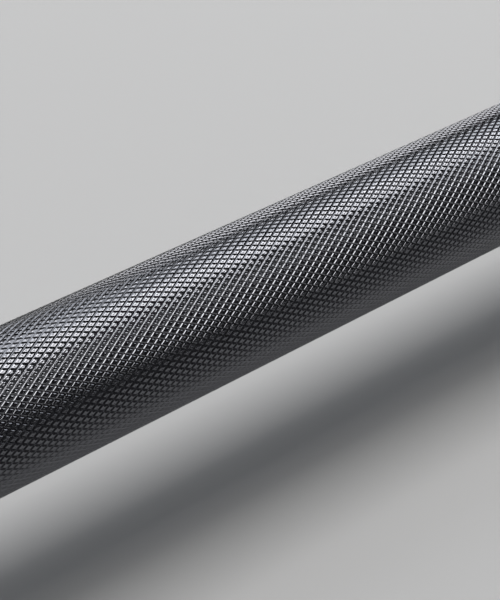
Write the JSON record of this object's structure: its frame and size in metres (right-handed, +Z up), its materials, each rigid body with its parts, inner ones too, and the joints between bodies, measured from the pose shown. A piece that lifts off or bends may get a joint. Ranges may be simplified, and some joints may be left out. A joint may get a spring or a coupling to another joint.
{
  "type": "olympic barbell",
  "caption": "Straight weightlifting bar with a black diamond-knurled shaft and free-spinning plate sleeves on needle bearings at both ends.",
  "frame": {"origin": "middle of the bar, on its axis", "axes": "+X along the bar towards the right sleeve, +Z up, +Y away from the lifter"},
  "size_m": [2.2, 0.074, 0.074],
  "materials": {
    "black_shaft_steel": "satin",
    "sleeve_chrome": "satin",
    "collar_chrome": "satin",
    "cap_steel": "satin",
    "spring_steel": "satin",
    "spacer_steel": "satin",
    "bearing_steel": "polished",
    "cage_polymer": "matte",
    "bronze": "satin",
    "seal_rubber": "matte"
  },
  "bodies": {
    "shaft": {"shaft": "black_shaft_steel", "right_inner_thrust_washer": "bronze", "right_outer_thrust_washer": "bronze", "right_shaft_snap_ring": "spring_steel", "left_inner_thrust_washer": "bronze", "left_outer_thrust_washer": "bronze", "left_shaft_snap_ring": "spring_steel"},
    "right_sleeve": {"right_sleeve": "sleeve_chrome", "right_collar": "collar_chrome", "right_dust_seal": "seal_rubber", "right_spacer_tube": "spacer_steel", "right_end_cap": "cap_steel", "right_cap_snap_ring": "spring_steel", "right_bearing_cup_1": "bearing_steel", "right_bearing_cup_2": "bearing_steel", "right_bearing_cup_3": "bearing_steel", "right_bearing_cup_4": "bearing_steel"},
    "right_needle_cages": {"right_needle_cage_1": "cage_polymer", "right_needles_1": "bearing_steel", "right_needle_cage_2": "cage_polymer", "right_needles_2": "bearing_steel", "right_needle_cage_3": "cage_polymer", "right_needles_3": "bearing_steel", "right_needle_cage_4": "cage_polymer", "right_needles_4": "bearing_steel"},
    "left_sleeve": {"left_sleeve": "sleeve_chrome", "left_collar": "collar_chrome", "left_dust_seal": "seal_rubber", "left_spacer_tube": "spacer_steel", "left_end_cap": "cap_steel", "left_cap_snap_ring": "spring_steel", "left_bearing_cup_1": "bearing_steel", "left_bearing_cup_2": "bearing_steel", "left_bearing_cup_3": "bearing_steel", "left_bearing_cup_4": "bearing_steel"},
    "left_needle_cages": {"left_needle_cage_1": "cage_polymer", "left_needles_1": "bearing_steel", "left_needle_cage_2": "cage_polymer", "left_needles_2": "bearing_steel", "left_needle_cage_3": "cage_polymer", "left_needles_3": "bearing_steel", "left_needle_cage_4": "cage_polymer", "left_needles_4": "bearing_steel"}
  },
  "joints": [
    {"name": "right_sleeve_spin", "type": "hinge", "parent": "shaft", "child": "right_sleeve", "pos_m": [0.8925, 0, 0], "axis": [1, 0, 0], "continuous": true},
    {"name": "right_cage_orbit", "type": "hinge", "parent": "shaft", "child": "right_needle_cages", "pos_m": [0.8925, 0, 0], "axis": [1, 0, 0], "continuous": true},
    {"name": "left_sleeve_spin", "type": "hinge", "parent": "shaft", "child": "left_sleeve", "pos_m": [-0.8925, 0, 0], "axis": [1, 0, 0], "continuous": true},
    {"name": "left_cage_orbit", "type": "hinge", "parent": "shaft", "child": "left_needle_cages", "pos_m": [-0.8925, 0, 0], "axis": [1, 0, 0], "continuous": true}
  ],
  "couplings": [
    {"joint": "right_cage_orbit", "follows": "right_sleeve_spin", "ratio": 0.54545},
    {"joint": "left_cage_orbit", "follows": "left_sleeve_spin", "ratio": 0.54545}
  ]
}
